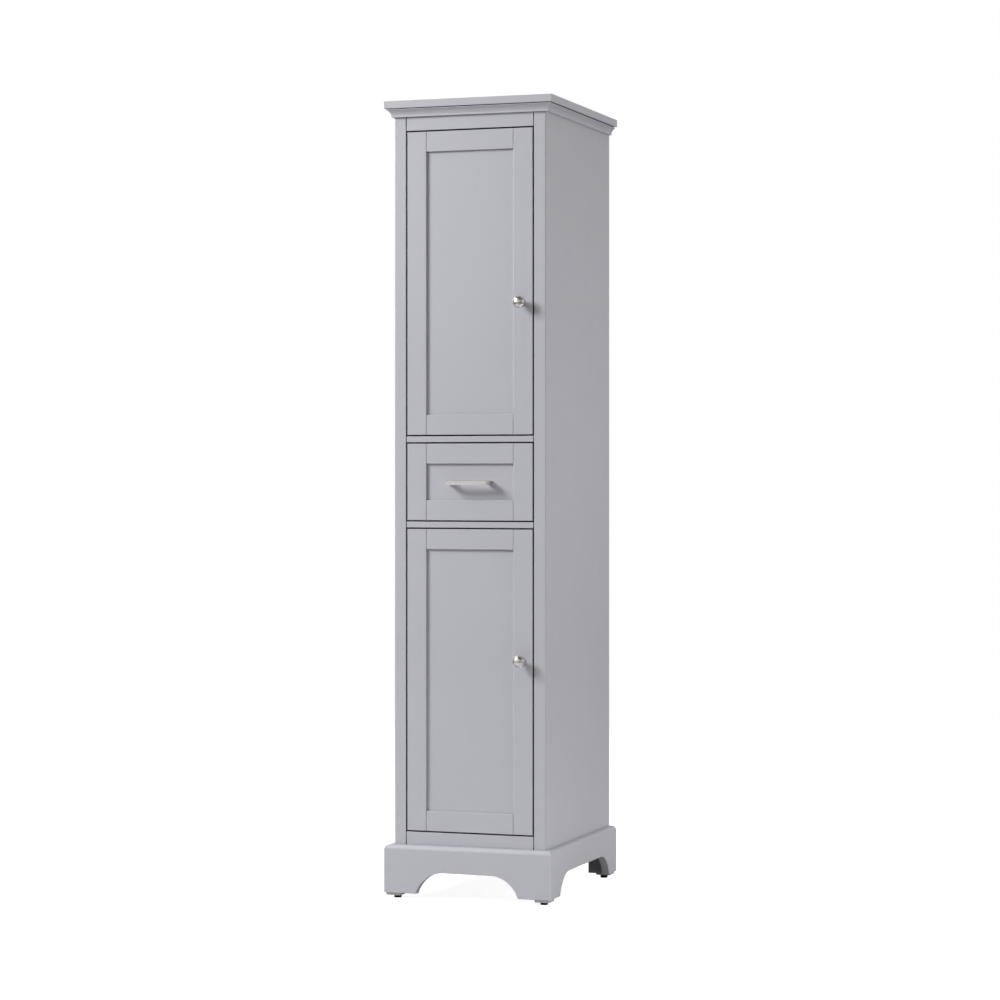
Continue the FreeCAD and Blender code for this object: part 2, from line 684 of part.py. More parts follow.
def knob(z):
    """Round knob: base, slim neck, and a drum-like head with a domed face inside a narrow rim."""
    profile = [
        (0, 0),
        (8.6, 0),
        (8.6, 1.6),
        (7.4, 2.8),
        (6.0, 4.6),
        (5.2, 8.0),
        (5.6, 11.6),
        (8.4, 14.2),
        (11.8, 16.2),
        (13.5, 18.4),
        (KNOB_R, 21.0),
        (KNOB_R, 24.0),
        (13.5, 24.9),
        (12.6, 24.4),
        (11.2, 25.6),
        (8.6, 27.1),
        (5.0, 28.1),
        (0, KNOB_REACH),
    ]
    thread = cylinder(M4_R, (KNOB_X, 0, z), (KNOB_X, -KNOB_THREAD, z))
    return turned(profile, (KNOB_X, 0, z), (0, -1, 0)).cut(thread)


def door(name, z, knob_z):
    stile, rails, panel = shaker(z)
    left = mirrored(stile)
    hinge_heights = (z[0] + HINGE_INSET, z[1] - HINGE_INSET)
    cup_screw_list = [screw for height in hinge_heights for screw in cup_screws(height)]
    for height in hinge_heights:
        left = left.cut(cup_bore(height))
    left = left.cut([screw_hole(*screw) for screw in cup_screw_list])
    knob_screw = screw_through(KNOB_X, knob_z, FRONT_T, FRONT_T + KNOB_THREAD - 1)
    right = stile.cut(cylinder(M4_R, (KNOB_X, FRONT_T, knob_z), (KNOB_X, 0, knob_z)))
    save(f"{name}_stile_left", [left])
    save(f"{name}_stile_right", [right])
    save(f"{name}_rails", rails)
    save(f"{name}_panel", [panel])
    save(f"{name}_knob", [knob(knob_z)])
    save(f"{name}_hinge_cups", [hinge_cup(height) for height in hinge_heights])
    pins = [hinge_pin(height, HINGE_PIN_R) for height in hinge_heights]
    save(f"{name}_fasteners", pins + [wood_screw(*screw) for screw in cup_screw_list] + [knob_screw])


# ---------------------------------------------------------------- concealed hinges
def hinge_x(distance):
    """Distance in from the hinge edge of a door, as a cabinet x."""
    return -FRONT_HALF + distance


def hinge_pin(z, radius):
    return cylinder(radius, (hinge_x(PIVOT_X), PIVOT_Y, z - HINGE_PIN_HALF),
                    (hinge_x(PIVOT_X), PIVOT_Y, z + HINGE_PIN_HALF))


def cup_bore(z):
    """The round socket in the door for one hinge cup."""
    return cylinder(CUP_R, (hinge_x(CUP_X), CUP_FLOOR, z), (hinge_x(CUP_X), FRONT_T + 1, z))


def cup_screws(z):
    top = FRONT_T + FLANGE_T
    x = hinge_x(CUP_SCREW_X)
    return [((x, top, z + side * CUP_SCREW_Z), (0, -1, 0), CUP_SCREW_L) for side in (-1, 1)]


def hinge_cup(z):
    """Pressed cup with a screw flange, and two ears inside it that hold the pin."""
    centre = hinge_x(CUP_X)
    top = FRONT_T + FLANGE_T
    shell = cylinder(CUP_R, (centre, CUP_FLOOR, z), (centre, top, z))
    flange = box((hinge_x(FLANGE_X[0]), hinge_x(FLANGE_X[1])), (FRONT_T, top),
                 (z - FLANGE_HALF_Z, z + FLANGE_HALF_Z))
    upright = [edge for edge in flange.Edges
               if abs(edge.BoundBox.YLength - FLANGE_T) < 1e-4 and edge.BoundBox.XLength < 1e-4]
    flange = flange.makeFillet(FLANGE_R, upright)
    hollow = cylinder(CUP_R - CUP_WALL, (centre, CUP_FLOOR + CUP_WALL, z), (centre, top + 1, z))
    cup = joined([shell, flange]).cut(hollow)
    ear_x = (hinge_x(PIVOT_X - EAR_HALF_X), hinge_x(PIVOT_X + EAR_HALF_X))
    ear_y = (CUP_FLOOR + CUP_WALL, PIVOT_Y + EAR_HALF_X)
    ears = [box(ear_x, ear_y, (z + low, z + high)) for low, high in (EAR_Z, (-EAR_Z[1], -EAR_Z[0]))]
    cup = joined([cup] + ears)
    return cup.cut([hinge_pin(z, HINGE_PIN_R)] + [screw_hole(*screw) for screw in cup_screws(z)])


def hinge_arm(z):
    """Goose-neck arm: eye on the pin, out of the cup, back past the stile and along the cabinet side."""
    low = z - ARM_HALF_Z
    tall = 2 * ARM_HALF_Z
    half_t = ARM_T / 2
    outline = [
        (PIVOT_X, PIVOT_Y - half_t),
        (ARM_LEG_X + ARM_T, PIVOT_Y - half_t),
        (ARM_LEG_X + ARM_T, ARM_TOP_Y),
        (ARM_T, ARM_TOP_Y),
        (ARM_T, ARM_BACK_Y),
        (0, ARM_BACK_Y),
        (0, ARM_TOP_Y - ARM_T),
        (ARM_LEG_X, ARM_TOP_Y - ARM_T),
        (ARM_LEG_X, PIVOT_Y + half_t),
        (PIVOT_X, PIVOT_Y + half_t),
    ]
    strip = prism([(hinge_x(x), y, low) for x, y in outline], (0, 0, tall))
    outside = [
        edge for edge in strip.Edges
        if edge.BoundBox.ZLength > tall - 0.01
        and any(abs(edge.BoundBox.XMin - hinge_x(x)) < 1e-3 and abs(edge.BoundBox.YMin - y) < 1e-3
                for x, y in (outline[1], outline[2], outline[6]))
    ]
    strip = strip.makeFillet(ARM_BEND_R, outside)
    eye = cylinder(EYE_R, (hinge_x(PIVOT_X), PIVOT_Y, low), (hinge_x(PIVOT_X), PIVOT_Y, low + tall))
    arm = joined([strip, eye])
    return arm.cut(hinge_pin(z, HINGE_PIN_R + PIN_PLAY))


def all_hinge_heights():
    doors = ((LOWER_BOTTOM + GAP_Z, LOWER_TOP - GAP_Z), (UPPER_BOTTOM + GAP_Z, UPPER_TOP - GAP_Z))
    return [z for low, high in doors for z in (low + HINGE_INSET, high - HINGE_INSET)]


def plate_screws():
    """Two screws through each mounting plate and its block into the left side panel."""
    y = sum(PLATE_Y) / 2
    x = hinge_x(0)
    reach = PLATE_HALF_Z - PLATE_SCREW_INSET
    return [
        ((x, y, z + side * reach), (-1, 0, 0), PLATE_SCREW_L)
        for z in all_hinge_heights() for side in (-1, 1)
    ]


def mounting_plate(z):
    x = (-OPEN_HALF, hinge_x(0))
    plate = box(x, PLATE_Y, (z - PLATE_HALF_Z, z + PLATE_HALF_Z))
    plate = eased(plate, "X", x[1], PLATE_EASE)
    return plate.cut([screw_hole(*screw) for screw in plate_screws()])


def hinges():
    heights = all_hinge_heights()
    save("hinge_arms", [hinge_arm(z) for z in heights])
    save("hinge_plates", [mounting_plate(z) for z in heights])
    holes = [screw_hole(*screw) for screw in plate_screws()]
    block_x = (-INNER_HALF, -OPEN_HALF)
    block_ends = [(z - HINGE_BLOCK_HALF_Z, z + HINGE_BLOCK_HALF_Z) for z in heights]
    blocks = [box(block_x, HINGE_BLOCK_Y, ends).cut(holes) for ends in block_ends]
    rail_holes = [screw_hole(*screw) for screw in rail_screws()]
    spacer = box((OPEN_HALF, INNER_HALF), (FRAME_T, BACK_Y - SHELF_BACK_GAP),
                 (RUNNER_Z - SPACER_HALF_H, RUNNER_Z + SPACER_HALF_H))
    spacers = [side.cut(rail_holes) for side in (spacer, mirrored(spacer))]
    save("mounting_blocks", blocks + spacers)


# ---------------------------------------------------------------- drawer runners
def rail_screws():
    """Screws that hold the outer runner rails to their spacers."""
    return [
        ((sign * (OPEN_HALF - SHEET), y, RUNNER_Z), (sign, 0, 0), RAIL_SCREW_L)
        for sign in (-1, 1) for y in RAIL_SCREWS_Y
    ]


def channel(web_u, edge_u, half_h):
    """Right-hand runner rail: a sheet channel between two distances in from the spacer's face."""
    u = sorted((web_u, edge_u))
    block = box((OPEN_HALF - u[1], OPEN_HALF - u[0]), (RUNNER_Y, RUNNER_Y + RUNNER_L),
                (RUNNER_Z - half_h, RUNNER_Z + half_h))
    step = SHEET if edge_u > web_u else -SHEET
    room_u = sorted((web_u + step, edge_u + step))
    room = box((OPEN_HALF - room_u[1], OPEN_HALF - room_u[0]), (RUNNER_Y - 1, RUNNER_Y + RUNNER_L + 1),
               (RUNNER_Z - half_h + SHEET, RUNNER_Z + half_h - SHEET))
    return block.cut(room)


def ball_row(gap, u, y_range):
    """Balls between two flanges, given as (inner, outer) heights off the runner's middle."""
    radius = (gap[1] - gap[0]) / 2 - BALL_PLAY
    height = (gap[0] + gap[1]) / 2
    pitch = (y_range[1] - y_range[0]) / (BALLS - 1)
    return [
        Part.makeSphere(radius, Vec(OPEN_HALF - u, y_range[0] + step * pitch, RUNNER_Z + side * height))
        for side in (-1, 1) for step in range(BALLS)
    ]


def runners():
    outer = channel(0, OUTER_LIP, OUTER_HALF_H)
    middle = channel(*MIDDLE_U, MIDDLE_HALF_H)
    inner = channel(RUNNER_W, INNER_U, INNER_HALF_H)
    outer_gap = (MIDDLE_HALF_H, OUTER_HALF_H - SHEET)
    inner_gap = (INNER_HALF_H, MIDDLE_HALF_H - SHEET)
    outer_balls = ball_row(outer_gap, (MIDDLE_U[0] + OUTER_LIP) / 2, OUTER_BALLS_Y)
    inner_balls = ball_row(inner_gap, (INNER_U + MIDDLE_U[1]) / 2, INNER_BALLS_Y)
    screws = [screw_hole(*screw) for screw in rail_screws()]
    save("runner_outer_rails", [rail.cut(screws) for rail in (outer, mirrored(outer))])
    right = [middle] + outer_balls + inner_balls
    save("runner_middles", right + [mirrored(piece) for piece in right])
    box_screws = [screw_hole(*screw) for screw in runner_box_screws()]
    save("runner_inner_rails", [rail.cut(box_screws) for rail in (inner, mirrored(inner))])


def runner_box_screws():
    """Screws from inside the drawer rail's channel into the box side."""
    return [
        ((sign * (BOX_HALF + SHEET), y, RUNNER_Z), (-sign, 0, 0), BOX_SCREW_L)
        for sign in (-1, 1) for y in BOX_SCREWS_Y
    ]


# ---------------------------------------------------------------- drawer
def dovetails(end_y, shoulder_y):
    """The flared tails of a box side, between its shoulder and the outer face of an end."""
    height = BOX_Z[1] - BOX_Z[0]
    tails = []
    for step in range(TAILS):
        middle = BOX_Z[0] + (step + 0.5) * height / TAILS
        neck = TAIL_NECK / 2
        wide = neck + TAIL_FLARE
        tails.append(prism([
            (BOX_HALF - BOX_T, shoulder_y, middle - neck),
            (BOX_HALF - BOX_T, end_y, middle - wide),
            (BOX_HALF - BOX_T, end_y, middle + wide),
            (BOX_HALF - BOX_T, shoulder_y, middle + neck),
        ], (BOX_T, 0, 0)))
    return tails


def drawer_box():
    ends_y = ((BOX_Y[0], BOX_Y[0] + BOX_T), (BOX_Y[1] - BOX_T, BOX_Y[1]))
    inside = BOX_HALF - BOX_T
    groove = box((-inside - BOX_GROOVE, inside + BOX_GROOVE),
                 (ends_y[0][1] - BOX_GROOVE, ends_y[1][0] + BOX_GROOVE),
                 (BOX_BOTTOM_Z, BOX_BOTTOM_Z + BOX_BOTTOM_T))
    tails = dovetails(*ends_y[0]) + dovetails(BOX_Y[1], ends_y[1][0])
    board = box((inside, BOX_HALF), (ends_y[0][1], ends_y[1][0]), BOX_Z)
    side = joined([eased(board, "Z", BOX_Z[1], BOX_EASE)] + tails).cut(groove)
    rail_holes = [screw_hole(*screw) for screw in runner_box_screws()]
    front_holes = [screw_hole(*screw) for screw in front_screws()]
    ends = []
    for y in ends_y:
        end = box((-BOX_HALF, BOX_HALF), y, BOX_Z)
        ends.append(end.cut(tails + [mirrored(tail) for tail in tails] + [groove] + front_holes))
    into = BOX_GROOVE - BOTTOM_PLAY
    bottom = box((-inside - into, inside + into), (ends_y[0][1] - into, ends_y[1][0] + into),
                 (BOX_BOTTOM_Z, BOX_BOTTOM_Z + BOX_BOTTOM_T))
    save("drawer_box_sides", [piece.cut(rail_holes) for piece in (side, mirrored(side))])
    save("drawer_box_ends", ends)
    save("drawer_box_bottom", [bottom])


def front_screws():
    """Four screws from inside the box into the drawer front's stiles."""
    return [
        ((side * FRONT_SCREW_X, BOX_Y[0] + BOX_T, z), (0, -1, 0), FRONT_SCREW_L)
        for side in (-1, 1) for z in FRONT_SCREWS_Z
    ]


def handle():
    """Square bar pull: a bar with rounded ends on two square posts that stand on the drawer's panel."""
    half = (HANDLE_CENTRES + HANDLE_POST) / 2
    z = (HANDLE_Z - HANDLE_H / 2, HANDLE_Z + HANDLE_H / 2)
    tip = RECESS - HANDLE_REACH
    outline = [
        (-half, RECESS),
        (-half, tip),
        (half, tip),
        (half, RECESS),
        (half - HANDLE_POST, RECESS),
        (half - HANDLE_POST, tip + HANDLE_BAR),
        (-half + HANDLE_POST, tip + HANDLE_BAR),
        (-half + HANDLE_POST, RECESS),
    ]
    pull = prism([(x, y, z[0]) for x, y in outline], (0, 0, z[1] - z[0]))
    ends = [edge for edge in pull.Edges if on_plane(edge, "Y", tip) and edge.BoundBox.ZLength > HANDLE_H / 2]
    pull = pull.makeFillet(HANDLE_CORNER_R, ends)
    rims = [edge for edge in pull.Edges
            if (on_plane(edge, "Z", z[0]) or on_plane(edge, "Z", z[1])) and not on_plane(edge, "Y", RECESS)]
    return pull.makeChamfer(HANDLE_EASE, rims)


def drawer():
    z = (DRAWER_BOTTOM + GAP_Z, DRAWER_TOP - GAP_Z)
    stile, rails, panel = shaker(z)
    front_holes = [screw_hole(*screw) for screw in front_screws()]
    stiles = [side.cut(front_holes) for side in (stile, mirrored(stile))]
    pull = handle()
    pull_screws = []
    for x in (-HANDLE_CENTRES / 2, HANDLE_CENTRES / 2):
        panel_back = RECESS + PANEL_T
        pull_screws.append(screw_through(x, HANDLE_Z, panel_back, PANEL_T + HANDLE_THREAD))
        bore = cylinder(M4_R, (x, panel_back, HANDLE_Z), (x, RECESS - HANDLE_THREAD, HANDLE_Z))
        pull = pull.cut(bore)
        panel = panel.cut(bore)
    save("drawer_front_stiles", stiles)
    save("drawer_front_rails", rails)
    save("drawer_front_panel", [panel])
    save("drawer_handle", [pull])
    wood_screws = [wood_screw(*screw) for screw in front_screws() + runner_box_screws()]
    save("drawer_screws", pull_screws + wood_screws)


crown()
face_frame()
carcass()
door_stops()
plinth()
feet()
hinges()
door("upper_door", (UPPER_BOTTOM + GAP_Z, UPPER_TOP - GAP_Z), UPPER_KNOB_Z)
door("lower_door", (LOWER_BOTTOM + GAP_Z, LOWER_TOP - GAP_Z), LOWER_KNOB_Z)
runners()
drawer_box()
drawer()
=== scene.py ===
"""Looks for the tall storage cabinet: paint, wood and metal finishes, turned hardware, studio and camera."""
import json
import math

import bmesh
import bpy
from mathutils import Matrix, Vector


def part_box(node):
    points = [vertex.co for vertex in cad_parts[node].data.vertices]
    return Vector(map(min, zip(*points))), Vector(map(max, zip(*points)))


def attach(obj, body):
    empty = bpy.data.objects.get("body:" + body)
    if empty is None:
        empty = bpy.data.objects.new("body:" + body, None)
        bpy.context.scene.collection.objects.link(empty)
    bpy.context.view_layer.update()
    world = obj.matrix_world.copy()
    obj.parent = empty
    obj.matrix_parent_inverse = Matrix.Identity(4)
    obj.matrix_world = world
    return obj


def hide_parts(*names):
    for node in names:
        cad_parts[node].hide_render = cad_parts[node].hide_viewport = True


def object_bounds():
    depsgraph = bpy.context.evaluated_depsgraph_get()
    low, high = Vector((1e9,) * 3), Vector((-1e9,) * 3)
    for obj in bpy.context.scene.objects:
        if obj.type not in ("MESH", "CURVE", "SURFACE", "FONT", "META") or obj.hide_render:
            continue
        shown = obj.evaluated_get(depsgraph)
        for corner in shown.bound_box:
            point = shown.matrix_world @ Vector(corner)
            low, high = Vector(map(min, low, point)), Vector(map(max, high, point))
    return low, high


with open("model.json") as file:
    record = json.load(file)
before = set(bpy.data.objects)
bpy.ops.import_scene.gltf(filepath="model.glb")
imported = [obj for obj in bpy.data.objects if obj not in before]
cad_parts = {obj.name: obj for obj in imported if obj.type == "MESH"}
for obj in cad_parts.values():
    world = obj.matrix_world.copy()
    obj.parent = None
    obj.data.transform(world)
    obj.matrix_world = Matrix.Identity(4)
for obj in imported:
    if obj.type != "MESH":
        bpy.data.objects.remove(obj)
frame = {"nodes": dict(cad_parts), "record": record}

CAD_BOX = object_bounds()
FLOOR_Z = CAD_BOX[0][2]
FACE_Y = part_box("frame_stile_right")[0].y
MM = 0.001


# ---------------------------------------------------------------- node helpers
EDGE_FROM, EDGE_TO = 0.985, 0.90
# Ambient-occlusion levels over which the painted shade in hollows fades in.
HOLLOW_SHADE_FROM, HOLLOW_SHADE_TO = 0.49, 0.14


class Nodes:
    """Short calls that add nodes to one tree."""

    def __init__(self, tree):
        self.tree = tree

    def node(self, kind, inputs=(), **settings):
        node = self.tree.nodes.new(kind)
        for key, value in settings.items():
            setattr(node, key, value)
        for key, value in dict(inputs).items():
            self.feed(node.inputs[key], value)
        return node

    def feed(self, socket, value):
        if isinstance(value, bpy.types.NodeSocket):
            self.tree.links.new(value, socket)
        else:
            socket.default_value = value

    def place(self, scale=(1, 1, 1), offset=(0, 0, 0)):
        """Object coordinates, stretched."""
        source = self.node("ShaderNodeTexCoord").outputs["Object"]
        inputs = {"Vector": source, "Scale": scale, "Location": offset}
        return self.node("ShaderNodeMapping", inputs).outputs["Vector"]

    def noise(self, vector, scale, detail=2.0, roughness=0.5, distortion=0.0):
        inputs = {"Vector": vector, "Scale": scale, "Detail": detail, "Roughness": roughness,
                  "Distortion": distortion}
        return self.node("ShaderNodeTexNoise", inputs).outputs["Fac"]

    def ramp(self, value, low, high, new_low=0.0, new_high=1.0):
        inputs = {"Value": value, "From Min": low, "From Max": high, "To Min": new_low, "To Max": new_high}
        return self.node("ShaderNodeMapRange", inputs, clamp=True).outputs["Result"]

    def math(self, operation, a, b=0.0):
        return self.node("ShaderNodeMath", {0: a, 1: b}, operation=operation).outputs[0]

    def mix(self, factor, a, b):
        node = self.node("ShaderNodeMix", data_type="RGBA")
        self.feed(node.inputs["Factor"], factor)
        self.feed(node.inputs["A"], a)
        self.feed(node.inputs["B"], b)
        return node.outputs["Result"]

    def bump(self, height, strength, distance, normal=None):
        inputs = {"Height": height, "Strength": strength, "Distance": distance}
        if normal is not None:
            inputs["Normal"] = normal
        return self.node("ShaderNodeBump", inputs).outputs["Normal"]

    def edges(self, radius):
        """1 on rounded edges, 0 on flat faces: where hands and cloths wear the finish, and on the paint also
        where a painted highlight lies.
        """
        rounded = self.node("ShaderNodeBevel", {"Radius": radius}, samples=4).outputs["Normal"]
        flat = self.node("ShaderNodeNewGeometry").outputs["Normal"]
        dot = self.node("ShaderNodeVectorMath", {0: rounded, 1: flat}, operation="DOT_PRODUCT")
        return self.ramp(dot.outputs["Value"], EDGE_FROM, EDGE_TO)

    def hollow_shade(self, distance):
        """1 deep in narrow joints, gaps and recess corners, 0 in the open: the ambient-occlusion mask that
        places painted shade.
        """
        inputs = {"Distance": distance}
        open_sky = self.node("ShaderNodeAmbientOcclusion", inputs, samples=6).outputs["AO"]
        return self.ramp(open_sky, HOLLOW_SHADE_FROM, HOLLOW_SHADE_TO)


class Shader(Nodes):
    """A material with a Principled shader."""

    def __init__(self, name):
        self.material = bpy.data.materials.new(name)
        self.material.use_nodes = True
        super().__init__(self.material.node_tree)
        self.surface = self.tree.nodes["Principled BSDF"]

    def set(self, **sockets):
        for name, value in sockets.items():
            self.feed(self.surface.inputs[name.replace("_", " ")], value)


def rgba(red, green, blue):
    return (red, green, blue, 1.0)


def grain_scale(axis, across, along):
    """Texture scale for a grain that runs along one axis."""
    return tuple(along if name == axis else across for name in "xyz")


# ---------------------------------------------------------------- materials
def painted(name, axis, tones, shade, speck_tone, rubbed_and_highlight_tone, rough):
    """Sprayed lacquer over wood: faint grain, orange peel, lighter edges (part rubbed wear, part painted
    highlight) and painted shade darkening joints, gaps and recess corners.
    """
    s = Shader(f"{name}_{axis}")
    here = s.place()
    tone = s.noise(here, 2.4, 3.0)
    speck = s.noise(here, 900.0, 2.0)
    grain = s.noise(s.place(grain_scale(axis, 170.0, 4.0)), 1.0, 4.0, 0.6)
    base = s.mix(s.ramp(tone, 0.3, 0.7), rgba(*tones[0]), rgba(*tones[1]))
    base = s.mix(s.ramp(speck, 0.35, 0.75, 0.0, 0.10), base, rgba(*speck_tone))
    base = s.mix(s.ramp(grain, 0.55, 0.8, 0.0, 0.16), base, rgba(*speck_tone))
    # Edges lightened: partly rubbed wear, partly a painted highlight along the edges.
    base = s.mix(s.math("MULTIPLY", s.edges(1.4 * MM), 0.70), base, rgba(*rubbed_and_highlight_tone))
    # Painted shade: joints, door gaps and recess corners darkened towards near black, where shadow falls.
    base = s.mix(s.math("MULTIPLY", s.hollow_shade(11.0 * MM), 0.96), base, rgba(*shade))
    roughness = s.ramp(s.noise(here, 22.0, 4.0), 0.3, 0.7, rough, rough + 0.08)
    peel = s.bump(s.noise(here, 620.0, 2.0), 0.10, 0.12 * MM)
    s.set(Base_Color=base, Roughness=roughness, Normal=s.bump(grain, 0.05, 0.25 * MM, peel))
    s.set(IOR=1.47, Coat_Weight=0.12, Coat_Roughness=0.30)
    return s.material


def paint(axis):
    """The satin light-grey finish of every outer surface."""
    tones = ((0.478, 0.476, 0.520), (0.500, 0.498, 0.542))
    return painted("grey_paint", axis, tones, shade=(0.014, 0.014, 0.018), speck_tone=(0.41, 0.41, 0.45),
                   rubbed_and_highlight_tone=(0.62, 0.62, 0.66), rough=0.40)


def primer(axis):
    """The matt dark-grey primer on boards and blocks that stand back out of sight."""
    tones = ((0.205, 0.206, 0.215), (0.245, 0.246, 0.255))
    return painted("grey_primer", axis, tones, shade=(0.03, 0.03, 0.034), speck_tone=(0.16, 0.16, 0.17),
                   rubbed_and_highlight_tone=(0.33, 0.33, 0.34), rough=0.62)


def laminate():
    """Thin board with a grey printed face and a faint fleck, as on the cabinet's back."""
    s = Shader("grey_laminate")
    here = s.place()
    fleck = s.noise(s.place((260.0, 260.0, 40.0)), 1.0, 3.0, 0.7)
    base = s.mix(s.ramp(fleck, 0.4, 0.72), rgba(0.455, 0.455, 0.495), rgba(0.41, 0.41, 0.45))
    base = s.mix(s.ramp(s.noise(here, 5.0, 3.0), 0.35, 0.7, 0.0, 0.3), base, rgba(0.48, 0.48, 0.51))
    rough = s.ramp(s.noise(here, 30.0, 3.0), 0.3, 0.7, 0.50, 0.62)
    s.set(Base_Color=base, Roughness=rough, Normal=s.bump(fleck, 0.08, 0.1 * MM))
    return s.material


WORN_LIGHTER = 1.15


def wood(name, axis, light, dark, pore, ring_scale, rough):
    """Bare or clear-finished timber: growth bands, long pores and tonal drift along one axis."""
    s = Shader(f"{name}_{axis}")
    drift = s.noise(s.place(grain_scale(axis, 9.0, 0.8)), 1.0, 3.0)
    stretched = s.place(grain_scale(axis, ring_scale, ring_scale * 0.05))
    bands = s.noise(stretched, 1.0, 5.0, 0.62, 1.4)
    pores = s.noise(s.place(grain_scale(axis, 1400.0, 38.0)), 1.0, 2.0)
    halfway = rgba(*((pale + deep) / 2 for pale, deep in zip(light, dark)))
    worn = rgba(*(WORN_LIGHTER * value for value in light))
    base = s.mix(s.ramp(bands, 0.38, 0.66), rgba(*light), rgba(*dark))
    base = s.mix(s.ramp(drift, 0.35, 0.7, 0.0, 0.35), base, halfway)
    base = s.mix(s.ramp(pores, 0.60, 0.72, 0.0, 0.55), base, rgba(*pore))
    base = s.mix(s.math("MULTIPLY", s.edges(0.8 * MM), 0.25), base, worn)
    roughness = s.ramp(bands, 0.3, 0.7, rough - 0.05, rough + 0.07)
    height = s.math("SUBTRACT", s.math("MULTIPLY", bands, 0.4), s.ramp(pores, 0.6, 0.72, 0.0, 0.6))
    s.set(Base_Color=base, Roughness=roughness, Normal=s.bump(height, 0.22, 0.15 * MM))
    return s.material


def birch(axis):
    return wood("drawer_wood", axis, (0.72, 0.56, 0.36), (0.60, 0.43, 0.25), (0.42, 0.28, 0.15), 55.0, 0.42)


def pine(axis):
    return wood("raw_wood", axis, (0.66, 0.49, 0.29), (0.50, 0.33, 0.17), (0.36, 0.23, 0.12), 90.0, 0.62)


def nickel(name, marks, depth):
    """Satin nickel: warm grey metal with fine finishing marks, smoother where fingers polish it, with painted
    shade in its hollows.
    """
    s = Shader(name)
    here = s.place()
    scratches = marks(s)
    smudge = s.noise(here, 90.0, 3.0)
    base = s.mix(s.ramp(scratches, 0.3, 0.7), rgba(0.700, 0.672, 0.650), rgba(0.745, 0.716, 0.693))
    base = s.mix(s.ramp(smudge, 0.5, 0.75, 0.0, 0.10), base, rgba(0.64, 0.61, 0.585))
    # Painted shade: the metal darkened close to the door, where the pull's posts and the knob's neck stand in
    # shade.
    base = s.mix(s.math("MULTIPLY", s.hollow_shade(4.0 * MM), 0.6), base, rgba(0.10, 0.095, 0.09))
    polished = s.edges(0.5 * MM)
    rough = s.math("SUBTRACT", s.ramp(smudge, 0.3, 0.7, 0.265, 0.30), s.math("MULTIPLY", polished, 0.08))
    s.set(Base_Color=base, Roughness=rough, Normal=s.bump(scratches, depth, 0.03 * MM))
    s.set(Metallic=1.0)
    return s.material


def straight_marks(s):
    """Brushing along the pull."""
    return s.noise(s.place((30.0, 1800.0, 1800.0)), 1.0, 3.0, 0.6)


def turned_marks(s):
    """Rings about the piece's own Z axis, as a lathe leaves them."""
    flat = s.node("ShaderNodeVectorMath", {0: s.place(), 1: (1, 1, 0)}, operation="MULTIPLY")
    radius = s.node("ShaderNodeVectorMath", {0: flat.outputs["Vector"]}, operation="LENGTH")
    rings = s.node("ShaderNodeCombineXYZ", {"X": radius.outputs["Value"]}).outputs["Vector"]
    return s.noise(rings, 4200.0, 2.0, 0.5)


def zinc():
    """Bright zinc plate on pressed steel: cloudy tone, faint blue and straw tints."""
    s = Shader("zinc_steel")
    here = s.place()
    cloud = s.noise(here, 70.0, 4.0, 0.6)
    tint = s.noise(here, 28.0, 2.0)
    base = s.mix(s.ramp(cloud, 0.3, 0.7), rgba(0.55, 0.56, 0.585), rgba(0.68, 0.685, 0.70))
    base = s.mix(s.ramp(tint, 0.5, 0.75, 0.0, 0.35), base, rgba(0.66, 0.62, 0.52))
    rough = s.ramp(cloud, 0.3, 0.7, 0.28, 0.42)
    s.set(Base_Color=base, Roughness=rough, Normal=s.bump(s.noise(here, 1500.0, 2.0), 0.10, 0.04 * MM))
    s.set(Metallic=1.0)
    return s.material


def black_nylon():
    """Moulded black nylon with a fine spark-eroded texture and scuffed edges."""
    s = Shader("black_plastic")
    here = s.place()
    texture = s.noise(here, 1700.0, 3.0)
    cloud = s.ramp(s.noise(here, 60.0, 3.0), 0.35, 0.7)
    base = s.mix(cloud, rgba(0.006, 0.006, 0.007), rgba(0.012, 0.012, 0.013))
    base = s.mix(s.math("MULTIPLY", s.edges(0.7 * MM), 0.5), base, rgba(0.05, 0.05, 0.054))
    rough = s.ramp(texture, 0.3, 0.7, 0.42, 0.58)
    s.set(Base_Color=base, Roughness=rough, Normal=s.bump(texture, 0.25, 0.05 * MM))
    s.set(Specular_IOR_Level=0.25)
    return s.material


# ---------------------------------------------------------------- materials onto the CAD nodes
LONG_X = ("rails", "rail_", "crown_front", "slab", "shelves", "divider", "plinth_front", "plinth_back",
          "top_panel", "bottom_panel", "wall_rail", "box_ends", "box_bottom", "drawer_front_panel")
LONG_Y = ("crown_left", "crown_right", "plinth_left", "plinth_right", "box_sides")


def grain_axis(node):
    """The way the timber runs in a piece."""
    if any(word in node for word in LONG_Y):
        return "y"
    if any(word in node for word in LONG_X):
        return "x"
    return "z"


def finish_nodes():
    made = {}
    makers = {"grey_paint": paint, "grey_primer": primer, "drawer_wood": birch, "raw_wood": pine}
    plain = {
        "grey_laminate": laminate(),
        "zinc_steel": zinc(),
        "black_plastic": black_nylon(),
        "satin_nickel": nickel("satin_nickel_brushed", straight_marks, 0.06),
    }
    for part in frame["record"]["subparts"]:
        node, slot = part["node"], part["material_slot"]
        if slot in makers:
            key = (slot, grain_axis(node))
            if key not in made:
                made[key] = makers[slot](key[1])
            material = made[key]
        else:
            material = plain[slot]
        mesh = frame["nodes"][node].data
        mesh.materials.clear()
        mesh.materials.append(material)
    return plain


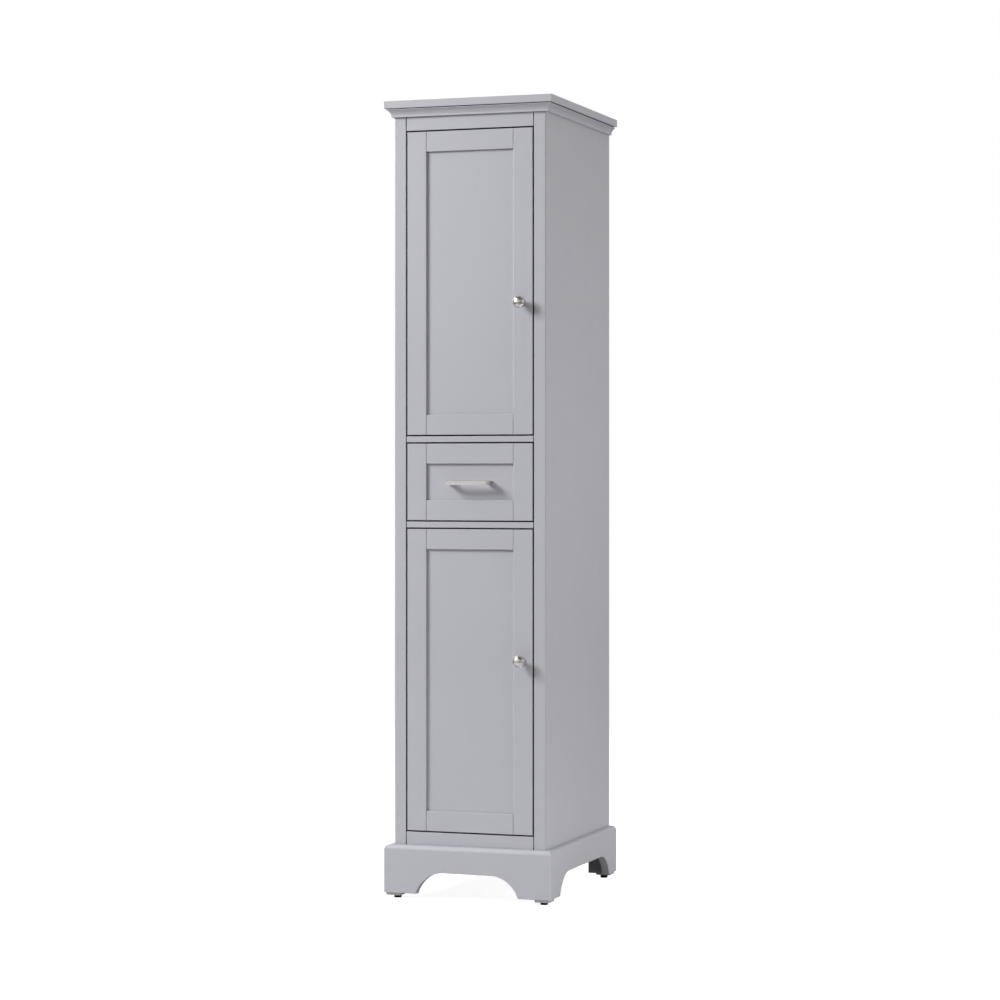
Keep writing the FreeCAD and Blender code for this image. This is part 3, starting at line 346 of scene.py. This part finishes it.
# ---------------------------------------------------------------- turned pieces
def lathe(name, profile, segments, levels):
    """A closed turned piece about its own Z axis, from (radius, height) points in millimetres."""
    mesh = bmesh.new()
    rings = []
    for radius, height in profile:
        if radius == 0:
            rings.append([mesh.verts.new((0, 0, height * MM))])
            continue
        ring = []
        for step in range(segments):
            angle = 2 * math.pi * step / segments
            x, y = radius * math.cos(angle), radius * math.sin(angle)
            ring.append(mesh.verts.new((x * MM, y * MM, height * MM)))
        rings.append(ring)
    for lower, upper in zip(rings, rings[1:]):
        for step in range(segments):
            after = (step + 1) % segments
            corners = [lower[step % len(lower)], lower[after % len(lower)],
                       upper[after % len(upper)], upper[step % len(upper)]]
            mesh.faces.new(list(dict.fromkeys(corners)))
    bmesh.ops.recalc_face_normals(mesh, faces=mesh.faces)
    for face in mesh.faces:
        face.smooth = True
    data = bpy.data.meshes.new(name)
    mesh.to_mesh(data)
    mesh.free()
    piece = bpy.data.objects.new(name, data)
    bpy.context.scene.collection.objects.link(piece)
    smooth = piece.modifiers.new("smooth", "SUBSURF")
    smooth.levels = levels
    smooth.render_levels = levels
    return piece


# (radius, height) in millimetres, from the door's face outwards
KNOB_FLANGE = ((0, 0), (7.6, 0), (8.5, 0), (8.6, 0.2), (8.6, 1.3), (8.3, 1.8))
KNOB_WAIST = ((7.3, 2.8), (6.1, 4.4), (5.35, 6.8), (5.25, 8.6), (5.7, 11.4), (7.4, 13.3), (10.2, 14.7))
KNOB_RIM = ((12.6, 16.2), (13.8, 17.9), (14.2, 19.8), (14.2, 21.2), (13.9, 22.8), (13.4, 24.0), (12.95, 24.6))
KNOB_RING_CUT = ((12.5, 24.75), (12.1, 24.5), (11.85, 24.0), (11.6, 23.85), (11.3, 24.0))
KNOB_CROWN = ((10.2, 25.1), (8.3, 26.6), (5.8, 27.7), (3.0, 28.3), (0, 28.45))
KNOB_PROFILE = KNOB_FLANGE + KNOB_WAIST + KNOB_RIM + KNOB_RING_CUT + KNOB_CROWN


def knob(door, metal):
    """Turned knob: base flange, waisted neck, bevelled disc and a ring cut into its face."""
    node = f"{door}_knob"
    low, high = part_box(node)
    piece = lathe(f"{door}_turned_knob", KNOB_PROFILE, segments=40, levels=2)
    piece.data.materials.append(metal)
    piece.rotation_euler = (math.radians(90), 0, 0)
    piece.location = ((low.x + high.x) / 2, high.y, (low.z + high.z) / 2)
    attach(piece, door)
    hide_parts(node)


# (radius, height) in millimetres, from the floor upwards
GLIDE_SOLE = ((0, 0), (7.4, 0), (8.1, 0.05), (8.5, 0.4), (8.7, 1.1), (8.85, 2.6), (8.9, 3.3))
GLIDE_GRIP = ((8.65, 3.5), (8.65, 3.8), (8.95, 4.0), (9.05, 5.2), (9.1, 6.0), (9.2, 6.5), (9.2, 6.95))
GLIDE_STEM = ((8.9, 7.0), (3.05, 7.0), (3.0, 7.2), (3.0, 35.6), (2.6, 36.0), (0, 36.0))
GLIDE_PROFILE = GLIDE_SOLE + GLIDE_GRIP + GLIDE_STEM


def glide(corner, plastic):
    """Levelling glide: tapered foot with a grip groove, on its stem."""
    node = f"glide_{corner}"
    low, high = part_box(node)
    piece = lathe(f"glide_{corner}_foot", GLIDE_PROFILE, segments=32, levels=1)
    piece.data.materials.append(plastic)
    piece.location = ((low.x + high.x) / 2, (low.y + high.y) / 2, low.z)
    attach(piece, node)
    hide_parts(node)


# ---------------------------------------------------------------- studio
FLOOR_R = 16.0
FADE_FROM = 1.2
FADE_TO = 4.5
FLOOR_GLOW = 0.86
SKY = {"all_round": 0.12, "behind": 0.70, "overhead": 0.73}
MIRRORED = {"left": 0.88, "right": 0.40, "far_right": 0.55, "above": 0.08}
KEY = {"right": -3.1, "forward": 2.14, "up": 3.2, "size": (1.5, 1.5), "watts": 201.0}
FILL = {"right": -1.15, "forward": 3.2, "up": 1.15, "size": (1.0, 1.6), "watts": 1.7}
SIDE = {"right": 3.2, "forward": 0.15, "up": 0.85, "size": (2.3, 1.5), "watts": 40.0}
FRONT_AIM = (0, FACE_Y, 1.0)
SIDE_AIM = (0.2, FACE_Y - SIDE["forward"], SIDE["up"])


def floor_material():
    """Pale matt floor that runs into the white of the studio; it throws back less light than it shows."""
    s = Shader("studio_floor")
    here = s.place()
    distance = s.node("ShaderNodeVectorMath", {0: here}, operation="LENGTH").outputs["Value"]
    seen = s.node("ShaderNodeLightPath").outputs["Is Camera Ray"]
    tone = s.ramp(s.noise(here, 8.0, 4.0), 0.3, 0.7)
    shown = s.mix(tone, rgba(0.90, 0.90, 0.90), rgba(0.915, 0.915, 0.915))
    s.set(Base_Color=s.mix(seen, rgba(0.60, 0.60, 0.60), shown), Roughness=0.85, Specular_IOR_Level=0.1)
    s.set(Emission_Color=rgba(1, 1, 1), Emission_Strength=s.math("MULTIPLY", seen, FLOOR_GLOW))
    white = s.node("ShaderNodeEmission", {"Color": rgba(1, 1, 1), "Strength": seen}).outputs[0]
    fade = s.ramp(distance, FADE_FROM, FADE_TO)
    mixed = s.node("ShaderNodeMixShader", {0: fade, 1: s.surface.outputs[0], 2: white}).outputs[0]
    s.tree.links.new(mixed, s.tree.nodes["Material Output"].inputs["Surface"])
    return s.material


def floor():
    mesh = bmesh.new()
    bmesh.ops.create_circle(mesh, cap_ends=True, segments=128, radius=FLOOR_R)
    data = bpy.data.meshes.new("studio_floor")
    mesh.to_mesh(data)
    mesh.free()
    data.materials.append(floor_material())
    piece = bpy.data.objects.new("studio_floor", data)
    piece.location = (0, 0, FLOOR_Z)
    bpy.context.scene.collection.objects.link(piece)


def sky():
    """White surround, stronger from behind and overhead.

    Gloss mirrors pale walls instead, with a bright one at the far right, under a dark ceiling.
    """
    world = bpy.data.worlds.new("studio")
    bpy.context.scene.world = world
    world.use_nodes = True
    world.node_tree.nodes.clear()
    s = Nodes(world.node_tree)
    direction = s.node("ShaderNodeTexCoord").outputs["Generated"]
    split = s.node("ShaderNodeSeparateXYZ", {0: direction}).outputs
    level = s.ramp(split["Y"], 0.0, 1.0, SKY["all_round"], SKY["all_round"] + SKY["behind"])
    level = s.math("MULTIPLY", level, s.ramp(split["Z"], 0.30, 0.85, 1.0, 0.25))
    level = s.math("ADD", level, s.ramp(split["Z"], 0.30, 0.90, 0.0, SKY["overhead"]))
    ray = s.node("ShaderNodeLightPath").outputs
    walls = s.ramp(split["X"], -0.75, 0.55, MIRRORED["left"], MIRRORED["right"])
    walls = s.math("ADD", walls, s.ramp(split["X"], 0.74, 0.90, 0.0, MIRRORED["far_right"]))
    mirrored = s.ramp(split["Z"], 0.28, 0.66, walls, MIRRORED["above"])
    change = s.math("MULTIPLY", s.math("SUBTRACT", mirrored, level), ray["Is Glossy Ray"])
    inputs = {"Color": rgba(0.985, 0.985, 1.0), "Strength": s.math("ADD", level, change)}
    light = s.node("ShaderNodeBackground", inputs).outputs[0]
    white = s.node("ShaderNodeBackground", {"Color": rgba(1, 1, 1)}).outputs[0]
    shown = s.node("ShaderNodeMixShader", {0: ray["Is Camera Ray"], 1: light, 2: white}).outputs[0]
    s.node("ShaderNodeOutputWorld", {"Surface": shown})


def softbox(name, lamp, target, mirrored=True):
    """Rectangular lamp; unless it is mirrored, gloss doesn't show it."""
    data = bpy.data.lights.new(name, "AREA")
    data.shape = "RECTANGLE"
    data.size, data.size_y = lamp["size"]
    data.energy = lamp["watts"]
    place = Vector((lamp["right"], FACE_Y - lamp["forward"], lamp["up"]))
    box = bpy.data.objects.new(name, data)
    box.location = place
    box.visible_glossy = mirrored
    box.rotation_euler = (Vector(target) - place).to_track_quat("-Z", "Y").to_euler()
    bpy.context.scene.collection.objects.link(box)


def studio():
    bpy.context.scene.view_settings.view_transform = "Standard"
    floor()
    sky()
    softbox("key", KEY, FRONT_AIM)
    softbox("fill", FILL, FRONT_AIM)
    softbox("side", SIDE, SIDE_AIM, mirrored=False)


# ---------------------------------------------------------------- camera
CAMERA_OFFSET = Vector((2.189, -6.0792, 0.9723))
CAMERA_TURN = 19.186
LENS = 102.09
SENSOR = 36.0
SHIFT_Y = -0.02561


def camera():
    """Level view from the front right, a little below half height."""
    data = bpy.data.cameras.new("camera")
    data.lens = LENS
    data.sensor_width = SENSOR
    data.shift_y = SHIFT_Y
    view = bpy.data.objects.new("camera", data)
    view.location = CAMERA_OFFSET + Vector((0, FACE_Y, FLOOR_Z))
    view.rotation_euler = (math.radians(90), 0, math.radians(CAMERA_TURN))
    bpy.context.scene.collection.objects.link(view)
    bpy.context.scene.camera = view


finishes = finish_nodes()
turned_nickel = nickel("satin_nickel_turned", turned_marks, 0.04)
for door in ("upper_door", "lower_door"):
    knob(door, turned_nickel)
for corner in ("front_left", "front_right", "back_left", "back_right"):
    glide(corner, finishes["black_plastic"])
studio()
camera()
